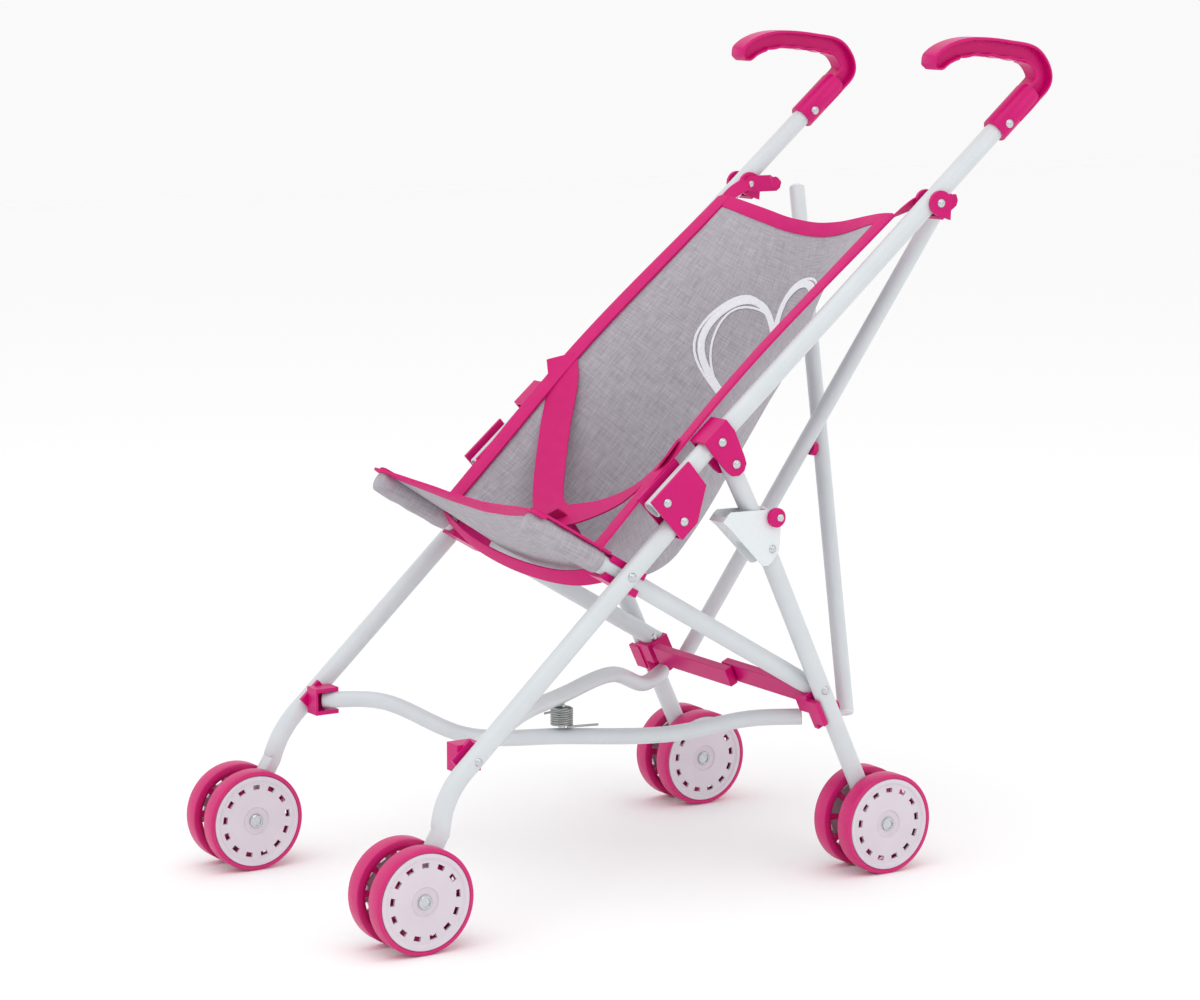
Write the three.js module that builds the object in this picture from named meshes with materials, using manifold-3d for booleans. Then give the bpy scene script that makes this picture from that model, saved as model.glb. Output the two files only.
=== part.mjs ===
// Doll stroller: an umbrella-fold frame of white steel tube with moulded plastic joints,
// four pairs of twin wheels, a fabric sling seat and a three-point harness.
// Millimetres, +Z up, the front looks along -Y. The origin is on the floor under the middle.
import * as THREE from "three";
import Module from "manifold-3d";
import { mergeVertices } from "three/addons/utils/BufferGeometryUtils.js";

const wasm = await Module();
wasm.setup();

// ---------------------------------------------------------------- driving dimensions
const TUBE_R = 6.35;               // frame tubes are 12.7 mm outside
const TUBE_WALL = 1;
const BRACE_R = 5.5;               // cross braces are 11 mm outside
const SIDE_X = 112;                // both side frames stand in the planes x = +-112
const RAIL_X = 98.5;               // the seat rails run just inside them
const WHEEL_R = 34;
const FRONT_WHEEL_X = 117.5;       // middle of a front twin wheel
const REAR_WHEEL_X = 112;
const TWIN = 13.5;                 // from the leg to the middle of each wheel of a pair
const GAP = 0.35;                  // between pieces that touch

// pivots of the side frame, as [y, z]
const HINGE = [-46, 264.6];        // lower end of the handle tube, in the square clip
const CLIP_RIVET = [-33.3, 251.6]; // upper end of the front leg, in the same clip
const RAIL_PIVOT = [-70.3, 218.3]; // seat rail on the front leg
const FRONT_BRACE = [-183.4, 112.3];
const LEG_TOP = [6.5, 285.5];      // rear leg in the two-rivet bracket
const TOP_PIVOT = [168, 447];      // back brace bracket on the handle tube
const KNEE = [35.9, 227.4];        // lower rivet of the white latch
const REAR_JOINT = [81, 128];      // seat rail meets rear leg
const BRACE_TOP = [196, 445];      // ends of the back braces
const BRACE_FOOT = [110, 106];
const BACK_LAYER = 8;              // the two back braces pass each other front and back
const FRONT_AXLE = [-232, WHEEL_R];
const REAR_AXLE = [124.4, WHEEL_R];
const HANDLE_ANGLE = THREE.MathUtils.degToRad(40.8);
const HANDLE_TUBE = 370;           // from the hinge to the end inside the grip

// ---------------------------------------------------------------- materials
const paint = (name, color, roughness, metalness) =>
  new THREE.MeshStandardMaterial({ name, color, roughness, metalness });
const whiteTube = paint("white_tube", "#eceef0", 0.35, 0.0);
const pinkPlastic = paint("pink_plastic", "#d4116f", 0.35, 0.0);
const wheelPink = paint("wheel_pink", "#d8186f", 0.4, 0.0);
const discWhite = paint("disc_white", "#efe4ec", 0.4, 0.0);
const latchWhite = paint("latch_white", "#dde2e4", 0.4, 0.0);
const steel = paint("bright_steel", "#b9bcbf", 0.25, 1.0);
const greyFabric = paint("grey_fabric", "#b3afb7", 0.9, 0.0);
const pinkWebbing = paint("pink_webbing", "#da1079", 0.8, 0.0);

// ---------------------------------------------------------------- helpers
function toManifold(geometry) {
  const bare = geometry.index ? geometry.toNonIndexed() : geometry.clone();
  bare.deleteAttribute("normal");
  bare.deleteAttribute("uv");
  const merged = mergeVertices(bare, 1e-4);
  return new wasm.Manifold(new wasm.Mesh({
    numProp: 3,
    vertProperties: new Float32Array(merged.attributes.position.array),
    triVerts: new Uint32Array(merged.index.array),
  }));
}

function toGeometry(manifold) {
  const { vertProperties, triVerts } = manifold.getMesh();
  const geometry = new THREE.BufferGeometry();
  geometry.setAttribute("position", new THREE.BufferAttribute(Float32Array.from(vertProperties), 3));
  geometry.setIndex(new THREE.BufferAttribute(Uint32Array.from(triVerts), 1));
  return geometry;
}

const join = (...list) => toGeometry(list.map(toManifold).reduce((a, b) => a.add(b)));
const cut = (body, ...tools) =>
  toGeometry(tools.map(toManifold).reduce((a, b) => a.subtract(b), toManifold(body)));

const vec = (x, [y, z]) => new THREE.Vector3(x, y, z);
const along = ([y, z], angle, distance) =>
  [y + distance * Math.cos(angle), z + distance * Math.sin(angle)];
const between = ([ay, az], [by, bz], t) => [ay + (by - ay) * t, az + (bz - az) * t];
const angleTo = ([ay, az], [by, bz]) => Math.atan2(bz - az, by - ay);

function ringShape(outer, inner) {
  const shape = new THREE.Shape().absarc(0, 0, outer, 0, Math.PI * 2);
  if (inner > 0) shape.holes.push(new THREE.Path().absarc(0, 0, inner, 0, Math.PI * 2, true));
  return shape;
}

// A straight tube, open at both ends.
function straightTube(start, end, radius = TUBE_R, wall = TUBE_WALL) {
  const direction = end.clone().sub(start);
  const geometry = new THREE.ExtrudeGeometry(ringShape(radius, radius - wall), {
    depth: direction.length(), bevelEnabled: false, curveSegments: 7,
  });
  geometry.applyQuaternion(
    new THREE.Quaternion().setFromUnitVectors(new THREE.Vector3(0, 0, 1), direction.normalize()));
  return geometry.translate(start.x, start.y, start.z);
}

// A tube bent along a path.
function bentTube(path, steps, radius, wall = TUBE_WALL) {
  return new THREE.ExtrudeGeometry(ringShape(radius, radius - wall), {
    extrudePath: path, steps, curveSegments: 6,
  });
}

// A round bar through a point, along a direction.
function bar(centre, axis, radius, length, sides = 12) {
  const geometry = new THREE.CylinderGeometry(radius, radius, length, sides);
  geometry.applyQuaternion(
    new THREE.Quaternion().setFromUnitVectors(new THREE.Vector3(0, 1, 0), axis.clone().normalize()));
  return geometry.translate(centre.x, centre.y, centre.z);
}

const X_AXIS = new THREE.Vector3(1, 0, 0);
const pin = (x, point, radius, length, sides = 12) => bar(vec(x, point), X_AXIS, radius, length, sides);

// A flat plate with a side-view outline of [y, z] points, from x = low to x = high.
function plate(outline, low, high) {
  const shape = new THREE.Shape(outline.map(([y, z]) => new THREE.Vector2(y, z)));
  const geometry = new THREE.ExtrudeGeometry(shape, { depth: high - low, bevelEnabled: false });
  geometry.applyMatrix4(new THREE.Matrix4().makeBasis(
    new THREE.Vector3(0, 1, 0), new THREE.Vector3(0, 0, 1), new THREE.Vector3(1, 0, 0)));
  return geometry.translate(low, 0, 0);
}

// Outline of a slot-shaped plate round two or more points, built from their hull.
function hullOutline(points, radius, steps = 10) {
  const cloud = points.flatMap(([y, z]) => Array.from({ length: steps }, (_, i) => {
    const turn = (i / steps) * Math.PI * 2;
    return [y + radius * Math.cos(turn), z + radius * Math.sin(turn)];
  })).sort((a, b) => a[0] - b[0] || a[1] - b[1]);
  const cross = (o, a, b) => (a[0] - o[0]) * (b[1] - o[1]) - (a[1] - o[1]) * (b[0] - o[0]);
  const half = (list) => {
    const chain = [];
    for (const p of list) {
      while (chain.length > 1 && cross(chain.at(-2), chain.at(-1), p) <= 1e-6) chain.pop();
      chain.push(p);
    }
    return chain.slice(0, -1);
  };
  return [...half(cloud), ...half(cloud.slice().reverse())];
}

// A rectangle in side view: centre, half length along the angle, half width across it.
function boxOutline(centre, angle, back, front, below, above) {
  const corner = (a, b) => [
    centre[0] + a * Math.cos(angle) - b * Math.sin(angle),
    centre[1] + a * Math.sin(angle) + b * Math.cos(angle)];
  return [corner(-back, -below), corner(front, -below), corner(front, above), corner(-back, above)];
}

// ---------------------------------------------------------------- side frame pieces
const LEG_ANGLE = angleTo(RAIL_PIVOT, CLIP_RIVET);
const REAR_ANGLE = angleTo(REAR_AXLE, LEG_TOP);
const RAIL_ANGLE = angleTo(REAR_JOINT, RAIL_PIVOT);
const PLATE_IN = SIDE_X - TUBE_R - GAP;          // faces of the plates beside a side tube
const PLATE_OUT = SIDE_X + TUBE_R + GAP;
const PLATE = 2.4;

function frontLeg() {
  const top = along(CLIP_RIVET, LEG_ANGLE, 9);
  const bendStart = along(FRONT_BRACE, LEG_ANGLE, -10);
  const bendEnd = between(FRONT_AXLE, bendStart, 0.52);
  const corner = along(FRONT_BRACE, LEG_ANGLE, -32);
  const path = new THREE.CurvePath();
  path.add(new THREE.LineCurve3(vec(SIDE_X, top), vec(SIDE_X, bendStart)));
  path.add(new THREE.QuadraticBezierCurve3(
    vec(SIDE_X, bendStart), vec(SIDE_X + 1, corner), vec(FRONT_WHEEL_X - 0.3, bendEnd)));
  path.add(new THREE.LineCurve3(
    vec(FRONT_WHEEL_X - 0.3, bendEnd), vec(FRONT_WHEEL_X, along(FRONT_AXLE, angleTo(bendEnd, FRONT_AXLE), 7))));
  return cut(bentTube(path, 16, TUBE_R), pin(FRONT_WHEEL_X, FRONT_AXLE, 3.5, 40));
}

const handleTube = () => straightTube(
  vec(SIDE_X, along(HINGE, HANDLE_ANGLE, -8)), vec(SIDE_X, along(HINGE, HANDLE_ANGLE, HANDLE_TUBE)));

const KNEE_GAP = 1;
const rearLegUpper = () => straightTube(
  vec(SIDE_X, along(LEG_TOP, REAR_ANGLE, 5)), vec(SIDE_X, along(KNEE, REAR_ANGLE, 12 + KNEE_GAP)));

const rearLeg = () => cut(
  straightTube(vec(SIDE_X, along(KNEE, REAR_ANGLE, 12)), vec(SIDE_X, along(REAR_AXLE, REAR_ANGLE, -7))),
  pin(SIDE_X, REAR_AXLE, 3.5, 40));

const seatRail = () => straightTube(
  vec(RAIL_X, along(RAIL_PIVOT, RAIL_ANGLE, 74)), vec(RAIL_X, along(REAR_JOINT, RAIL_ANGLE, -8)));

// Square clip: two plates round both tube ends, closed behind the front leg by a web.
function hingeClip() {
  const centre = between(HINGE, CLIP_RIVET, 0.5);
  const corner = (a, b) => along(along(centre, LEG_ANGLE, a), LEG_ANGLE + Math.PI / 2, b);
  const outline = [corner(-8.5, -17.3), corner(7, -17.3), corner(28, -4), corner(29, 17), corner(-8.5, 18)];
  const web = [corner(-8.5, -17.3), corner(7, -17.3), corner(7, -15.9), corner(-8.5, -15.9)];
  return join(
    plate(outline, PLATE_OUT, PLATE_OUT + PLATE),
    plate(outline, PLATE_IN - PLATE, PLATE_IN),
    plate(web, PLATE_IN - PLATE, PLATE_OUT + PLATE));
}

// Two-rivet bracket: plates from the handle tube to the top of the rear leg.
function legBracket() {
  const seat = along(HINGE, HANDLE_ANGLE, 53);
  const outline = hullOutline([seat, along(HINGE, HANDLE_ANGLE, 59), LEG_TOP], 8.2);
  const front = boxOutline(seat, HANDLE_ANGLE, 8, 14, 0, 9);
  const saddle = boxOutline(seat, HANDLE_ANGLE, 8, 14, -(TUBE_R + GAP), 9);
  return join(
    plate(outline, PLATE_OUT, PLATE_OUT + PLATE),
    plate(front, PLATE_OUT, PLATE_OUT + PLATE),
    plate(outline, PLATE_IN - PLATE, PLATE_IN),
    plate(front, PLATE_IN - PLATE, PLATE_IN),
    plate(saddle, PLATE_IN - PLATE, PLATE_OUT + PLATE));
}

// Top bracket: a clevis on the handle tube, flat behind, with an arm back to the brace.
function topBracket() {
  const [y, z] = TOP_PIVOT;
  const cheek = (low, high) => join(
    plate(hullOutline([TOP_PIVOT], 8.4, 20), low, high),
    plate([[y - 2, z - 8.1], [y + 8, z - 11.5], [y + 9, z + 5], [y, z + 8.3]], low, high));
  const wall = boxOutline(TOP_PIVOT, HANDLE_ANGLE, 6, 5, 9.4, -(TUBE_R + GAP));
  const arm = plate(hullOutline([TOP_PIVOT, along(TOP_PIVOT, 0, 20)], 6), 101.6, PLATE_IN);
  return cut(join(
    cheek(PLATE_OUT, PLATE_OUT + PLATE),
    cheek(PLATE_IN - PLATE, PLATE_IN),
    plate(wall, PLATE_IN - PLATE, PLATE_OUT + PLATE),
    arm), braceCore(-BACK_LAYER, false), braceCore(BACK_LAYER, false));
}

// White latch: two triangular plates joined by a thumb tab along the lower front edge.
const LATCH_TIP = [-3, 248];
const ROLLER = [37.3, 248.3];
function latch() {
  const outline = hullOutline([KNEE, ROLLER, [LATCH_TIP[0] + 8, LATCH_TIP[1] + 1], [31, 222]], 5.5);
  const inside = PLATE_OUT + 0.1;
  const web = [LATCH_TIP, [18, 231.5], [20, 233.4], [LATCH_TIP[0] + 3, LATCH_TIP[1] + 3.5]];
  return join(
    plate(outline, inside, inside + 1.4),
    plate(outline, PLATE_IN - 1.5, PLATE_IN - 0.1),
    plate(web, PLATE_IN - 1.5, inside + 1.4));
}
const latchRoller = () => cut(
  pin(SIDE_X, ROLLER, 3.6, 2 * (TUBE_R - 0.2)),
  pin(SIDE_X, ROLLER, 1.6, 40));

// Spacer block between the front leg and the seat rail.
function railBracket() {
  const outline = boxOutline(RAIL_PIVOT, RAIL_ANGLE, 18, 12, 8.5, 8.5);
  return cut(plate(outline, RAIL_X - TUBE_R - 3, RAIL_X + TUBE_R - 0.6),
    straightTubeCore(RAIL_X, along(RAIL_PIVOT, RAIL_ANGLE, 60), along(RAIL_PIVOT, RAIL_ANGLE, -60)));
}
const straightTubeCore = (x, a, b) => {
  const start = vec(x, a);
  const direction = vec(x, b).sub(start);
  return bar(vec(x, between(a, b, 0.5)), direction, TUBE_R + GAP, direction.length(), 24);
};

// Front brace bracket: a clevis on the inner side of the front leg.
const FRONT_LUG = [-181.5, 112];
function frontBracket() {
  const outline = boxOutline(FRONT_BRACE, LEG_ANGLE, 9, 9, 8, 8);
  const block = plate(outline, PLATE_IN - 3, PLATE_IN);
  const upper = plate(boxOutline(FRONT_LUG, 0, 9, 8, -6.2, 9), 90, PLATE_IN - 2);
  const lower = plate(boxOutline(FRONT_LUG, 0, 9, 8, 9, -6.2), 90, PLATE_IN - 2);
  const [y, z] = FRONT_LUG;
  const nose = plate([[y - 9, z - 9], [y - 7.4, z - 9], [y - 7.4, z + 9], [y - 9, z + 9]], 90, PLATE_IN - 2);
  return join(block, upper, lower, nose);
}

// Rear bracket: a block on the inner side of the rear leg, open to the seat rail, with a round
// lug behind for the back brace and a foot in front for the bottom brace.
const REAR_LUG = [84, 104];
const REAR_SEAT = along(REAR_JOINT, REAR_ANGLE, -14);
function rearBracket() {
  const inner = PLATE_IN - 15;
  const block = plate(boxOutline(REAR_SEAT, REAR_ANGLE, 14, 12, 9, 9), inner, PLATE_IN);
  const wrap = plate(boxOutline(REAR_SEAT, REAR_ANGLE, 9, 9, -(TUBE_R + GAP), 10), PLATE_IN - 2, SIDE_X + 4);
  const lug = plate(hullOutline([REAR_SEAT, [BRACE_FOOT[0] - 14, BRACE_FOOT[1] + 6]], 6), 98.5, PLATE_IN);
  const rail = straightTubeCore(RAIL_X, along(REAR_JOINT, RAIL_ANGLE, 40), along(REAR_JOINT, RAIL_ANGLE, -11));
  const layers = [-BACK_LAYER, BACK_LAYER].map((layer) => braceCore(layer, true));
  const foot = bar(new THREE.Vector3(86.5, REAR_LUG[0], REAR_LUG[1]), X_AXIS, BRACE_R + 1.5, 28, 20);
  return cut(join(block, wrap, lug), rail, foot, ...layers);
}

// Hook grip: a collar on the tube, then a C-shaped grip that curls forward and down.
function handleGrip() {
  const spine = new THREE.CatmullRomCurve3([
    vec(0, along(HINGE, HANDLE_ANGLE, 362)), vec(0, along(HINGE, HANDLE_ANGLE, 384)),
    vec(0, [255, 527]), vec(0, [247, 541]), vec(0, [224, 546.5]), vec(0, [192, 548.5]),
    vec(0, [174, 544]), vec(0, [163.5, 536.5])]);
  const steps = 22;
  const upper = [];
  const lower = [];
  for (let i = 0; i <= steps; i += 1) {
    const point = spine.getPoint(i / steps);
    const tangent = spine.getTangent(i / steps);
    const half = 6.6;
    upper.push([point.y + tangent.z * half, point.z - tangent.y * half]);
    lower.push([point.y - tangent.z * half, point.z + tangent.y * half]);
  }
  const hook = plate([...upper, ...lower.reverse()], SIDE_X - 8, SIDE_X + 8);
  const collar = bar(vec(SIDE_X, along(HINGE, HANDLE_ANGLE, 361)),
    new THREE.Vector3(0, Math.cos(HANDLE_ANGLE), Math.sin(HANDLE_ANGLE)), 9, 38, 20);
  const bore = bar(vec(SIDE_X, along(HINGE, HANDLE_ANGLE, HANDLE_TUBE - 60)),
    new THREE.Vector3(0, Math.cos(HANDLE_ANGLE), Math.sin(HANDLE_ANGLE)), TUBE_R + GAP, 122, 24);
  return cut(join(hook, collar), bore);
}

// ---------------------------------------------------------------- wheels
function lathe(profile, x, [y, z], outward, segments = 18) {
  const points = profile.map(([r, a]) => new THREE.Vector2(r, a));
  points.push(points[0].clone());
  const geometry = new THREE.LatheGeometry(points, segments);
  geometry.rotateZ(outward > 0 ? -Math.PI / 2 : Math.PI / 2);
  return geometry.translate(x, y, z);
}
const RIM_PROFILE = [[3.6, -6.2], [8, -6.2], [8, -3], [30, -3], [30, -6.2], [33, -6.2], [WHEEL_R, -5],
  [WHEEL_R, 5], [33, 6.2], [31.2, 6.2], [31.2, -1], [3.6, -1]];
const DISC_PROFILE = [[3.6, -0.5], [30.8, -0.5], [30.8, 6.7], [28.5, 6.7], [27, 5.6], [10, 5.6], [9, 4.2], [3.6, 4.2]];

function axle(x, centre) {
  return join(
    pin(x, centre, 3, 2 * (TWIN + 5.4), 16),
    pin(x + TWIN + 5.6, centre, 4.6, 2, 16),
    pin(x - TWIN - 5.6, centre, 4.6, 2, 16));
}

// ---------------------------------------------------------------- cross braces
// Back brace: from the top bracket on one side down to the rear bracket on the other.
function braceEnds(layer) {
  const slope = angleTo(BRACE_TOP, BRACE_FOOT);
  const place = ([y, z]) => [y - Math.sin(slope) * layer, z + Math.cos(slope) * layer];
  return [vec(96, place(BRACE_TOP)), vec(-90, place(BRACE_FOOT))];
}
const backBrace = (layer) => straightTube(...braceEnds(layer), BRACE_R);

// The room that a back brace needs in a bracket, for this side's own end or the far one's.
function braceCore(layer, mirrored) {
  const [top, foot] = braceEnds(layer);
  const middle = top.clone().add(foot).multiplyScalar(0.5);
  const direction = foot.clone().sub(top);
  const core = bar(middle, direction, BRACE_R + 2 * GAP, direction.length() + 30, 20);
  return mirrored ? toGeometry(toManifold(core).mirror([1, 0, 0])) : core;
}

// Bottom brace: from the front bracket to the rear bracket opposite, with a dip in the middle.
function bottomBrace(middle) {
  const path = new THREE.CatmullRomCurve3([
    vec(97, FRONT_LUG), vec(70, [-150, 112]), vec(36, [-105, middle]), vec(0, [-52, middle]),
    vec(-36, [10, middle + 1]), vec(-66, [55, 102]), vec(-86.5, REAR_LUG)]);
  return bentTube(path, 14, BRACE_R);
}

// Half of the folding rear link, from the rear bracket to the middle pivot.
const LINK = [83, 120];
const LINK_X = 84;
const linkArm = (below, above) => plate(boxOutline(LINK, REAR_ANGLE, 8, 5.5, below, above), -7, LINK_X + 1.5);

// ---------------------------------------------------------------- soft goods
// A closed thin solid through a grid of points, with a thickness across it.
function sheet(grid, thickness) {
  const rows = grid.length;
  const columns = grid[0].length;
  const at = (i, j) => grid[Math.min(Math.max(i, 0), rows - 1)][Math.min(Math.max(j, 0), columns - 1)];
  const faces = [1, -1].map((sign) => grid.map((row, i) => row.map((point, j) => {
    const normal = at(i + 1, j).clone().sub(at(i - 1, j)).cross(at(i, j + 1).clone().sub(at(i, j - 1)));
    return point.clone().addScaledVector(normal.normalize(), sign * thickness / 2);
  })));
  const positions = [];
  const quad = (a, b, c, d) => [a, b, c, a, c, d].forEach((p) => positions.push(p.x, p.y, p.z));
  const [top, under] = faces;
  for (let i = 0; i + 1 < rows; i += 1) {
    for (let j = 0; j + 1 < columns; j += 1) {
      quad(top[i][j], top[i + 1][j], top[i + 1][j + 1], top[i][j + 1]);
      quad(under[i][j], under[i][j + 1], under[i + 1][j + 1], under[i + 1][j]);
    }
    const j = columns - 1;
    quad(top[i][0], under[i][0], under[i + 1][0], top[i + 1][0]);
    quad(top[i][j], top[i + 1][j], under[i + 1][j], under[i][j]);
  }
  const i = rows - 1;
  for (let j = 0; j + 1 < columns; j += 1) {
    quad(top[0][j], top[0][j + 1], under[0][j + 1], under[0][j]);
    quad(top[i][j], under[i][j], under[i][j + 1], top[i][j + 1]);
  }
  const geometry = new THREE.BufferGeometry();
  geometry.setAttribute("position", new THREE.Float32BufferAttribute(positions, 3));
  return toGeometry(toManifold(geometry));
}

// Cloth slung between its two side edges: the middle hangs down to a line of its own.
function sling(sideLine, middleLine, halfWidth, thickness) {
  const curve = (line) => new THREE.CatmullRomCurve3(line.map((p) => vec(0, p)), false, "centripetal");
  const side = curve(sideLine);
  const middle = curve(middleLine);
  const rows = 16;
  const columns = 8;
  const grid = Array.from({ length: rows + 1 }, (_, i) => Array.from({ length: columns + 1 }, (__, j) => {
    const across = (j / columns) * 2 - 1;
    const point = side.getPointAt(i / rows).lerp(middle.getPointAt(i / rows), (1 - across ** 2) ** 1.5);
    point.x = across * halfWidth;
    return point;
  }));
  return sheet(grid, thickness);
}

const seat = () => sling(
  [[-133, 262], [-100, 241], [-71.5, 222]],
  [[-118.5, 254], [-90, 228], [-60, 207], [-42, 200]], 86, 3);
const backrest = () => sling(
  [[146, 432], [46, 341.5], [-52, 252]],
  [[152, 425], [138, 380], [124, 334], [101, 300], [78, 268], [58, 240], [38, 215], [25, 202], [8, 195],
    [-14, 194], [-34, 197]], 96, 3);

// Harness: a shoulder strap from each side down to the middle of the seat, and a strap from there
// to the seat, in one piece.
function band(points, across, thickness) {
  const grid = points.map((p) => [-1, 0, 1].map((side) => new THREE.Vector3(...p)
    .addScaledVector(new THREE.Vector3(...across), side)));
  return sheet(grid, thickness);
}
function harness() {
  const strap = (side) => band(
    [[side * 85, -23, 288], [side * 68, -36, 268], [side * 36, -50, 248], [0, -56, 240]],
    [side * -2, 6.4, 6.4], 2);
  const crotch = band([[0, -60, 243], [0, -48, 228], [0, -40, 208]], [10, 0, 0], 2);
  return join(strap(1), strap(-1), crotch);
}

// Torsion spring round the lower cross bolt.
const CROSS = [-52, 0];
function spring() {
  const turns = 8;
  const points = [];
  for (let i = 0; i <= turns * 10; i += 1) {
    const turn = (i / 10) * Math.PI * 2;
    points.push(new THREE.Vector3(7 * Math.cos(turn), CROSS[0] + 7 * Math.sin(turn), 97.5 + (i / 10) * 1.6));
  }
  const path = new THREE.CatmullRomCurve3(points);
  return new THREE.ExtrudeGeometry(new THREE.Shape().absarc(0, 0, 0.8, 0, Math.PI * 2), {
    extrudePath: path, steps: turns * 10, curveSegments: 3,
  });
}

// ---------------------------------------------------------------- assembly
const stroller = new THREE.Group();
stroller.position.y = 2.5;         // puts the origin under the middle of the footprint

function add(group, name, geometry, material) {
  const mesh = new THREE.Mesh(geometry, material);
  mesh.name = name;
  group.add(mesh);
  return mesh;
}

for (const side of ["left", "right"]) {
  const frame = new THREE.Group();
  frame.scale.x = side === "left" ? 1 : -1;
  stroller.add(frame);
  const piece = (name, geometry, material) => add(frame, `${side}_${name}`, geometry, material);
  piece("front_leg", frontLeg(), whiteTube);
  piece("handle_tube", handleTube(), whiteTube);
  piece("rear_leg_upper", rearLegUpper(), whiteTube);
  piece("rear_leg", rearLeg(), whiteTube);
  piece("seat_rail", seatRail(), whiteTube);
  piece("handle_grip", handleGrip(), pinkPlastic);
  piece("hinge_clip", hingeClip(), pinkPlastic);
  piece("rear_leg_bracket", legBracket(), pinkPlastic);
  piece("top_bracket", topBracket(), pinkPlastic);
  piece("latch", latch(), latchWhite);
  piece("latch_roller", latchRoller(), pinkPlastic);
  piece("rail_bracket", railBracket(), pinkPlastic);
  piece("front_bracket", frontBracket(), pinkPlastic);
  piece("rear_bracket", rearBracket(), pinkPlastic);
  piece("front_axle", axle(FRONT_WHEEL_X, FRONT_AXLE), steel);
  piece("rear_axle", axle(REAR_WHEEL_X, REAR_AXLE), steel);
  for (const [end, x, centre] of [["front", FRONT_WHEEL_X, FRONT_AXLE], ["rear", REAR_WHEEL_X, REAR_AXLE]]) {
    for (const [which, outward] of [["outer", 1], ["inner", -1]]) {
      piece(`${end}_${which}_wheel`, lathe(RIM_PROFILE, x + outward * TWIN, centre, outward), wheelPink);
      piece(`${end}_${which}_disc`, lathe(DISC_PROFILE, x + outward * TWIN, centre, outward), discWhite);
    }
  }
  piece("back_brace", backBrace(side === "left" ? -BACK_LAYER : BACK_LAYER), whiteTube);
  piece("bottom_brace", bottomBrace(side === "left" ? 118 : 90), whiteTube);
  piece("link_arm", side === "left" ? linkArm(6.5, -0.4) : linkArm(-0.4, 6.5), pinkPlastic);
}
const BRACE_MIDDLE = between(BRACE_TOP, BRACE_FOOT, 0.516);
const BRACE_NORMAL = angleTo(BRACE_TOP, BRACE_FOOT) + Math.PI / 2;
add(stroller, "back_cross_spacer", bar(
  vec(0, BRACE_MIDDLE), vec(0, along([0, 0], BRACE_NORMAL, 1)), 5, 2 * (BACK_LAYER - BRACE_R - GAP)), pinkPlastic);
add(stroller, "bottom_cross_bolt", bar(new THREE.Vector3(0, CROSS[0], 104), new THREE.Vector3(0, 0, 1), 2.4, 14), steel);
add(stroller, "brace_spring", spring(), steel);
add(stroller, "seat", seat(), greyFabric);
add(stroller, "backrest", backrest(), greyFabric);
add(stroller, "harness", harness(), pinkWebbing);

export default stroller;
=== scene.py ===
import math
import bmesh
import bpy
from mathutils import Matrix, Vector


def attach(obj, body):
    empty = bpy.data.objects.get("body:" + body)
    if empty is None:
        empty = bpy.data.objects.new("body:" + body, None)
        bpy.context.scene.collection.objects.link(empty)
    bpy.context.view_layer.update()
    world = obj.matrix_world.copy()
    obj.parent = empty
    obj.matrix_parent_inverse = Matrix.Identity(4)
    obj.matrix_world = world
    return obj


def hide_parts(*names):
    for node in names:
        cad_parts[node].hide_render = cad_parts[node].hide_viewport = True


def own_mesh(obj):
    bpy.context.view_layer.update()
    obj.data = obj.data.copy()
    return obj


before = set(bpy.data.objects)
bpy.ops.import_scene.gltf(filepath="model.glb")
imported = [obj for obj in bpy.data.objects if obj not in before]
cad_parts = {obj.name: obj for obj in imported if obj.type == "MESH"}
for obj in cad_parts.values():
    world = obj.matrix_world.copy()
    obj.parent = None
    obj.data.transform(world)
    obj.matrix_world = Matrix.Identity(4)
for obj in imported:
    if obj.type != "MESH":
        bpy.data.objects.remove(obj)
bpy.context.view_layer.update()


# ---------------------------------------------------------------- floor, camera and light
# A plain pale floor under soft overhead light, with white bounce from all round, as on a
# product table. The camera stands low at the left front of the stroller.
def linear(hex_colour):
    """An sRGB hex colour as the linear colour that shaders use."""
    parts = [int(hex_colour[i:i + 2], 16) / 255 for i in (1, 3, 5)]
    return [c / 12.92 if c <= 0.04045 else ((c + 0.055) / 1.055) ** 2.4 for c in parts] + [1]


def add_node(tree, kind, inputs=None, **settings):
    """Adds one shader node, with its settings, and its inputs as values or links."""
    made = tree.nodes.new(kind)
    for key, value in settings.items():
        setattr(made, key, value)
    for key, value in (inputs or {}).items():
        if isinstance(value, bpy.types.NodeSocket):
            tree.links.new(value, made.inputs[key])
        else:
            made.inputs[key].default_value = value
    return made


def new_finish(name):
    """An empty material: its node tree and its surface shader."""
    made = bpy.data.materials.new(name)
    made.use_nodes = True
    tree = made.node_tree
    return made, tree, tree.nodes["Principled BSDF"]


FLOOR_HALF = 6
floor_mesh = bpy.data.meshes.new("floor")
floor_mesh.from_pydata(
    [(x, y, 0) for x, y in ((-FLOOR_HALF, -FLOOR_HALF), (FLOOR_HALF, -FLOOR_HALF),
                            (FLOOR_HALF, FLOOR_HALF), (-FLOOR_HALF, FLOOR_HALF))], [], [(0, 1, 2, 3)])
floor = bpy.data.objects.new("floor", floor_mesh)
bpy.context.scene.collection.objects.link(floor)
table_white, tree, shader = new_finish("matt_white_table_laminate")
shader.inputs["Base Color"].default_value = linear("#ffffff")
shader.inputs["Roughness"].default_value = 0.75
shader.inputs["Specular IOR Level"].default_value = 0.2
floor_mesh.materials.append(table_white)

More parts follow.
